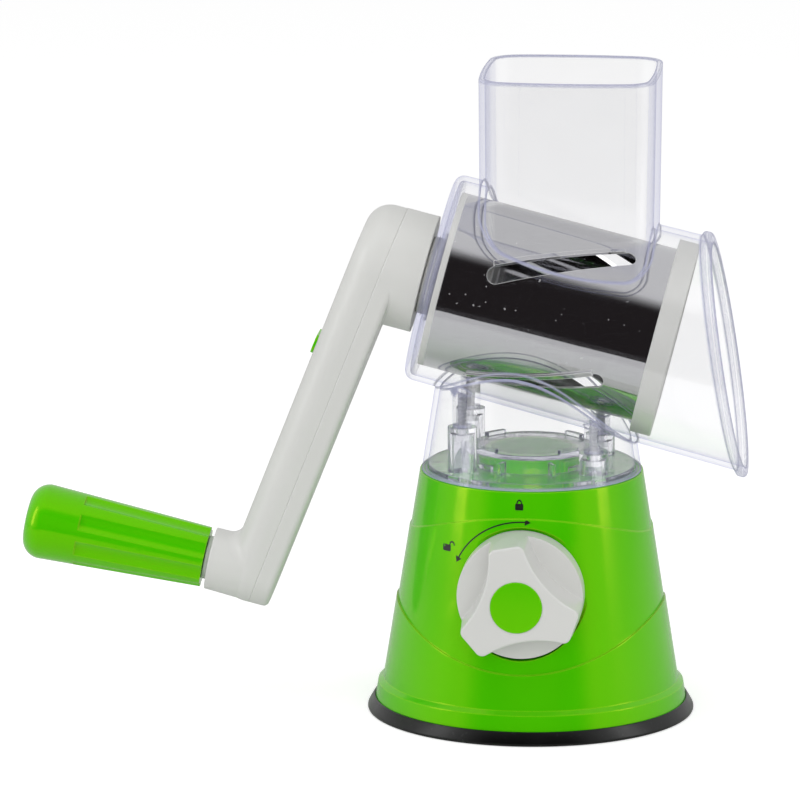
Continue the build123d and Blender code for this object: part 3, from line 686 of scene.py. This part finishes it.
class GRATER_OT_green_mouldings(bpy.types.Operator):
    """Finish the lime green mouldings"""
    bl_idname = "grater.green_mouldings"
    bl_label = "Green mouldings"

    def execute(self, context):
        colours = context.scene.grater.colours
        material = moulded_plastic(
            "green_moulding", colours.green, roughness=0.14, peel=0.000006, painted_edge_colour=colours.green_edge_highlight,
            shine=colours.green_shine, gloss=1.0, ior=1.58,
        )
        paint_nodes(material, "base_shell", "knob_cap", "arm_inlay", "grip")
        return {"FINISHED"}


class GRATER_OT_white_mouldings(bpy.types.Operator):
    """Finish the white mouldings"""
    bl_idname = "grater.white_mouldings"
    bl_label = "White mouldings"

    def execute(self, context):
        colours = context.scene.grater.colours
        material = moulded_plastic(
            "white_moulding", colours.white, roughness=0.3, peel=0.000012, painted_edge_colour=colours.white_edge_highlight,
        )
        paint_nodes(
            material, "knob", "crank_arm", "crank_cover", "drum_rim", "drum_hub", "drive_spindle",
            "grip_collar",
        )
        return {"FINISHED"}


class GRATER_OT_clear_mouldings(bpy.types.Operator):
    """Finish the clear housing and deck"""
    bl_idname = "grater.clear_mouldings"
    bl_label = "Clear mouldings"

    def execute(self, context):
        colours = context.scene.grater.colours
        tint, painted_edge_colour = colours.clear_tint, colours.clear_painted_edge
        housing = thin_clear_plastic("clear_housing", tint, painted_edge_colour, density=5.0)
        deck = thick_clear_plastic("clear_deck", tint, painted_edge_colour, density=8.0)
        for name, material in (("hopper_housing", housing), ("bayonet_plate", deck)):
            paint_nodes(material, name)
            frame["nodes"][name].visible_shadow = False
        return {"FINISHED"}


class GRATER_OT_steel_parts(bpy.types.Operator):
    """Finish the steel drum, screws, shaft, clip and pin"""
    bl_idname = "grater.steel_parts"
    bl_label = "Steel parts"

    def execute(self, context):
        colours = context.scene.grater.colours
        sheet = polished_steel("drum_steel", colours.steel, roughness=0.05, dents=0.00006)
        paint_nodes(sheet, "drum_sleeve")
        fasteners = polished_steel("fastener_steel", colours.fasteners, roughness=0.45, dents=0.00002)
        paint_nodes(
            fasteners, "frame_screws", "knob_screw", "knob_shaft", "shaft_clip", "pad_insert",
            "hopper_screws", "spindle_screw", "crank_screws", "grip_pin",
        )
        return {"FINISHED"}


class GRATER_OT_inner_parts(bpy.types.Operator):
    """Finish the plastic parts inside the base"""
    bl_idname = "grater.inner_parts"
    bl_label = "Inner parts"

    def execute(self, context):
        colours = context.scene.grater.colours
        material = moulded_plastic(
            "acetal", colours.acetal, roughness=0.45, peel=0.00002, painted_edge_colour=colours.acetal_edge_highlight,
        )
        paint_nodes(material, "lift_frame", "shaft_bush", "lift_stem")
        return {"FINISHED"}


class GRATER_OT_suction_foot(bpy.types.Operator):
    """Model the rubber foot: a rim that stays with the base and a membrane whose middle is drawn up"""
    bl_idname = "grater.suction_foot"
    bl_label = "Suction foot"

    def execute(self, context):
        foot = context.scene.grater.foot
        rubber = foot_rubber("foot_rubber", context.scene.grater.colours.rubber)
        rim = self.add_rim(foot)
        membrane = self.add_membrane(foot)
        for piece in (rim, membrane):
            piece.data.materials.append(rubber)
            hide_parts("suction_pad")
            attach(piece, "base")
        fall = joint("stem_lift")["range_m"][0]
        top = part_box("suction_pad")[1].z
        (top + fall) / top
        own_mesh(membrane)
        return {"FINISHED"}

    def seat(self):
        """Radius and height of the shell's lower edge, which the rim holds."""
        low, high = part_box("base_shell")
        return high.x, low.z

    def add_rim(self, foot):
        """Ring of rubber that the shell's lower edge stands in."""
        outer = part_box("suction_pad")[1].x
        seat_radius, seat_height = self.seat()
        soft = foot.edge_radius
        ease = soft * 0.3
        lip_outer = seat_radius + foot.lip_width
        inner_foot = (foot.ring_radius, 0.0)
        profile = [
            inner_foot,
            (outer - soft, 0.0),
            (outer - ease, ease),
            (outer, soft),
            (outer, foot.edge_height),
            (outer - ease, foot.edge_height + soft),
            (lip_outer + ease, foot.lip_height - soft),
            (lip_outer - soft * 0.2, foot.lip_height - soft * 0.25),
            (lip_outer - soft, foot.lip_height),
            (seat_radius, foot.lip_height - soft * 0.4),
            (seat_radius, seat_height),
            (foot.ring_radius, seat_height),
            inner_foot,
        ]
        return turned_piece("foot_rim", profile, foot.corners)

    def add_membrane(self, foot):
        """Skin inside the ring, drawn up towards the boss in its middle."""
        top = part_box("suction_pad")[1].z
        seat_height = self.seat()[1]
        inner = foot.boss_radius - foot.skin
        profile = [
            *slope((inner, foot.hollow), (foot.ring_radius, 0.0)),
            (foot.ring_radius, 0.0),
            *slope((foot.ring_radius, seat_height), (foot.boss_radius, foot.hollow + foot.skin)),
            (foot.boss_radius, foot.hollow + foot.skin),
            (foot.boss_radius, top),
        ]
        return turned_piece("foot_membrane", profile, foot.corners)


class GRATER_OT_lock_print(bpy.types.Operator):
    """Print the turning arrow and the closed and open padlock on the base"""
    bl_idname = "grater.lock_print"
    bl_label = "Lock print"

    def execute(self, context):
        marks = context.scene.grater.lock_print
        low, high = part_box("knob_cap")
        self.middle = Vector(((low.x + high.x) / 2, low.y - marks.arc_radius, (low.z + high.z) / 2))
        shapes = [self.add_arc(marks)]
        shapes.append(self.add_head(marks, marks.arc_end, math.radians(90)))
        shapes.append(self.add_head(marks, marks.arc_start, math.radians(-90)))
        shapes += self.add_padlock(marks, marks.closed_angle, 0.0)
        shapes += self.add_padlock(marks, marks.open_angle, marks.open_shift)
        bpy.ops.object.select_all(action="DESELECT")
        for shape in shapes:
            shape.select_set(True)
        bpy.context.view_layer.objects.active = shapes[0]
        bpy.ops.object.join()
        ink = bpy.context.object
        ink.name = "lock_print"
        bpy.ops.object.modifier_add(type="SHRINKWRAP")
        wrap = ink.modifiers[-1]
        wrap.target = frame["nodes"]["base_shell"]
        wrap.wrap_method = "PROJECT"
        wrap.use_project_y = True
        wrap.use_negative_direction = False
        wrap.use_positive_direction = True
        wrap.wrap_mode = "ABOVE_SURFACE"
        wrap.offset = marks.lift
        bpy.ops.object.modifier_apply(modifier=wrap.name)
        ink.data.materials.append(black_ink("black_ink"))
        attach(ink, "base")
        return {"FINISHED"}

    def around(self, radius, angle):
        """Place in front of the base at an angle from straight up about the knob."""
        return self.middle + Vector((math.sin(angle), 0, math.cos(angle))) * radius

    def cut(self, point, away):
        """Cuts off what lies beyond a point in a direction."""
        bpy.ops.mesh.select_all(action="SELECT")
        bpy.ops.mesh.bisect(plane_co=point, plane_no=away, clear_outer=True)

    def add_band(self, middle, inner, outer, corners):
        """Flat upright ring."""
        band = add_ring(inner, middle, corners, upright=True)
        with editing():
            bpy.ops.mesh.extrude_edges_move(TRANSFORM_OT_translate={"value": (0, 0, 0)})
            bpy.ops.transform.resize(value=(outer / inner, 1, outer / inner), center_override=middle)
        return band

    def add_arc(self, marks):
        """Curved line between the two arrow heads."""
        half = marks.line / 2
        arc = self.add_band(self.middle, marks.arc_radius - half, marks.arc_radius + half, ARC_CORNERS)
        with editing():
            for angle, sense in ((marks.arc_end, 1), (marks.arc_start, -1)):
                self.cut(self.middle, (math.cos(angle) * sense, 0, -math.sin(angle) * sense))
        return arc

    def add_head(self, marks, angle, turn):
        """Arrow head at an end of the arc."""
        place = self.around(marks.arc_radius, angle)
        head = add_ring(marks.head, place, corners=3, turn=angle + turn, upright=True)
        with editing():
            bpy.ops.mesh.edge_face_add()
            bpy.ops.mesh.subdivide(number_cuts=2)
        return head

    def add_padlock(self, marks, angle, shift):
        """Padlock whose shackle stands aside by a share of the body's width."""
        place = self.around(marks.sign_radius, angle)
        width = marks.sign_width
        bpy.ops.object.select_all(action="DESELECT")
        bpy.ops.mesh.primitive_plane_add(size=width, location=place, rotation=(math.radians(90), 0, 0))
        bpy.ops.object.transform_apply(location=True, rotation=True, scale=True)
        body = bpy.context.object
        with editing():
            bpy.ops.transform.resize(value=(1, 1, PADLOCK_HEIGHT), center_override=place)
            bpy.ops.mesh.bevel(offset=width * PADLOCK_CORNER, segments=3, affect="VERTICES")
        arch = place + Vector((shift, 0, SHACKLE_LIFT)) * width
        shackle = self.add_band(arch, width * SHACKLE_INNER, width * SHACKLE_OUTER, SHACKLE_CORNERS)
        with editing():
            self.cut(arch, (0, 0, -1))
            bpy.ops.mesh.select_all(action="SELECT")
            bpy.ops.transform.resize(value=(1, 1, SHACKLE_STRETCH), center_override=arch)
        return [body, shackle]


def add_softbox(name, place, aim, width, height, power):
    """Area lamp that looks at a point."""
    lamp = bpy.data.lights.new(name, "AREA")
    lamp.shape = "RECTANGLE"
    lamp.size = width
    lamp.size_y = height
    lamp.energy = power
    holder = bpy.data.objects.new(name, lamp)
    bpy.context.scene.collection.objects.link(holder)
    holder.location = place
    holder.rotation_euler = (Vector(aim) - Vector(place)).to_track_quat("-Z", "Y").to_euler()
    return holder


def rays(finish, *kinds):
    """1 for rays of any of these kinds."""
    path = finish.node("ShaderNodeLightPath")
    outputs = path.socket.node.outputs
    first, *others = (Value(finish, outputs[f"Is {kind} Ray"]) for kind in kinds)
    for other in others:
        first = first.highest(other)
    return first


class GRATER_OT_stage(bpy.types.Operator):
    """Set up the white studio and the camera"""
    bl_idname = "grater.stage"
    bl_label = "Studio"

    def execute(self, context):
        studio = context.scene.grater.studio
        self.add_world(context.scene, studio)
        self.add_floor(studio)
        self.add_dark_side(studio)
        target = studio.lamp_target
        away = studio.strip_distance
        for side, name in ((-1, "left_softbox"), (1, "right_softbox")):
            turn = studio.azimuth + side * studio.strip_angle
            place = (math.sin(turn) * away, -math.cos(turn) * away, studio.strip_lift)
            add_softbox(name, place, target, studio.strip_width, studio.strip_height, studio.strip_power)
        for name, place, power in (
            ("top_softbox", studio.top_place, studio.top_power),
            ("front_softbox", studio.front_place, studio.front_power),
        ):
            lamp = add_softbox(name, place, target, studio.softbox_width, studio.softbox_height, power)
            lamp.visible_glossy = False
        self.add_camera(context.scene, studio)
        context.scene.view_settings.view_transform = "Standard"
        return {"FINISHED"}

    def add_world(self, scene, studio):
        """White room that lights the object less than it shows in view and in mirrors."""
        scene.world = bpy.data.worlds.new("white_room")
        finish = Finish(scene.world)
        plain = studio.room_light
        backdrop = rays(finish, "Camera", "Transmission") * (1 - plain)
        mirrored = rays(finish, "Glossy") * (studio.mirror_light - plain)
        light = finish.node("ShaderNodeBackground", inputs={
            "Color": WHITE, "Strength": backdrop.highest(mirrored) + plain,
        })
        finish.node("ShaderNodeOutputWorld", inputs={"Surface": light})

    def add_floor(self, studio):
        """White table that keeps the object's shadow."""
        bpy.ops.mesh.primitive_plane_add(size=studio.table_size, location=(0, 0, -studio.table_gap))
        floor = bpy.context.object
        floor.name = "floor"
        finish = new_finish("white_table")
        paper = finish.node("ShaderNodeBsdfDiffuse", inputs={"Color": TABLE_PAPER})
        seen = rays(finish, "Camera", "Transmission")
        glow = finish.node("ShaderNodeEmission", inputs={"Strength": seen * studio.floor_glow})
        both = finish.node("ShaderNodeAddShader", inputs={0: paper, 1: glow})
        finish.node("ShaderNodeOutputMaterial", inputs={"Surface": both})
        floor.data.materials.append(finish.block)

    def add_dark_side(self, studio):
        """Dark card that starts at the table's edge and stands up behind, seen only in mirrors."""
        bpy.ops.object.select_all(action="DESELECT")
        bpy.ops.mesh.primitive_plane_add(size=1)
        card = bpy.context.object
        card.name = "dark_side"
        away = studio.dark_distance
        middle = math.tan(studio.azimuth) * away
        with editing():
            depth = away - studio.table_edge
            bpy.ops.transform.resize(value=(studio.dark_width, depth, 1), center_override=(0, 0, 0))
            bpy.ops.transform.translate(value=(middle, -(away + studio.table_edge) / 2, studio.table_gap))
            bpy.ops.mesh.select_all(action="DESELECT")
        far = min(vertex.co.y for vertex in card.data.vertices)
        for edge in card.data.edges:
            edge.select = all(card.data.vertices[end].co.y < far + MERGE_DISTANCE for end in edge.vertices)
        bpy.ops.object.mode_set(mode="EDIT")
        bpy.ops.mesh.select_mode(type="EDGE")
        bpy.ops.mesh.extrude_edges_move(TRANSFORM_OT_translate={"value": (0, 0, studio.dark_height)})
        bpy.ops.object.mode_set(mode="OBJECT")
        finish = new_finish("dark_room")
        spot = finish.node("ShaderNodeSeparateXYZ", inputs={0: finish.place()})
        across, _, height = (Value(finish, output) for output in spot.socket.node.outputs)
        fade = (across - middle).size().rise(*SIDE_FADE).highest(height.rise(*TOP_FADE))
        bent = finish.node("ShaderNodeLightPath", output="Transmission Depth")
        pale = with_alpha((1, 1, 1), studio.mirror_light)
        shade = finish.blend(fade.highest(bent.rise(0.0, 1.0)), DARK_ROOM, pale)
        glow = finish.node("ShaderNodeEmission", inputs={"Color": shade})
        finish.node("ShaderNodeOutputMaterial", inputs={"Surface": glow})
        card.data.materials.append(finish.block)
        card.visible_camera = False
        card.visible_diffuse = False
        card.visible_shadow = False
        card.visible_transmission = False

    def add_camera(self, scene, studio):
        """Camera at the photograph's viewing angle."""
        camera = bpy.data.cameras.new("camera")
        camera.lens = studio.lens
        camera.sensor_width = SENSOR_WIDTH
        holder = bpy.data.objects.new("camera", camera)
        scene.collection.objects.link(holder)
        level = math.cos(studio.elevation)
        back = Vector((
            math.sin(studio.azimuth) * level, -math.cos(studio.azimuth) * level, math.sin(studio.elevation),
        ))
        holder.location = Vector(studio.aim) + back * studio.distance
        holder.rotation_euler = (-back).to_track_quat("-Z", "Y").to_euler()
        scene.camera = holder


class GRATER_PT_sidebar(bpy.types.Panel):
    """Steps that dress the grater"""
    bl_idname = "GRATER_PT_sidebar"
    bl_label = "Drum grater"
    bl_space_type = "VIEW_3D"
    bl_region_type = "UI"
    bl_category = "Grater"

    def draw(self, context):
        for step in STEPS:
            self.layout.operator(step.bl_idname)


STEPS = (
    GRATER_OT_green_mouldings,
    GRATER_OT_white_mouldings,
    GRATER_OT_clear_mouldings,
    GRATER_OT_steel_parts,
    GRATER_OT_inner_parts,
    GRATER_OT_suction_foot,
    GRATER_OT_lock_print,
    GRATER_OT_stage,
)
CLASSES = (GraterColours, GraterFoot, GraterPrint, GraterStudio, GraterSettings, *STEPS, GRATER_PT_sidebar)


def register():
    for one in CLASSES:
        bpy.utils.register_class(one)
    bpy.types.Scene.grater = PointerProperty(type=GraterSettings)


def unregister():
    del bpy.types.Scene.grater
    for one in reversed(CLASSES):
        bpy.utils.unregister_class(one)


def main():
    """Dresses the part step by step."""
    register()
    bpy.ops.object.select_all(action="DESELECT")
    for step in STEPS:
        group, name = step.bl_idname.split(".")
        getattr(getattr(bpy.ops, group), name)()


if __name__ == "__main__":
    main()
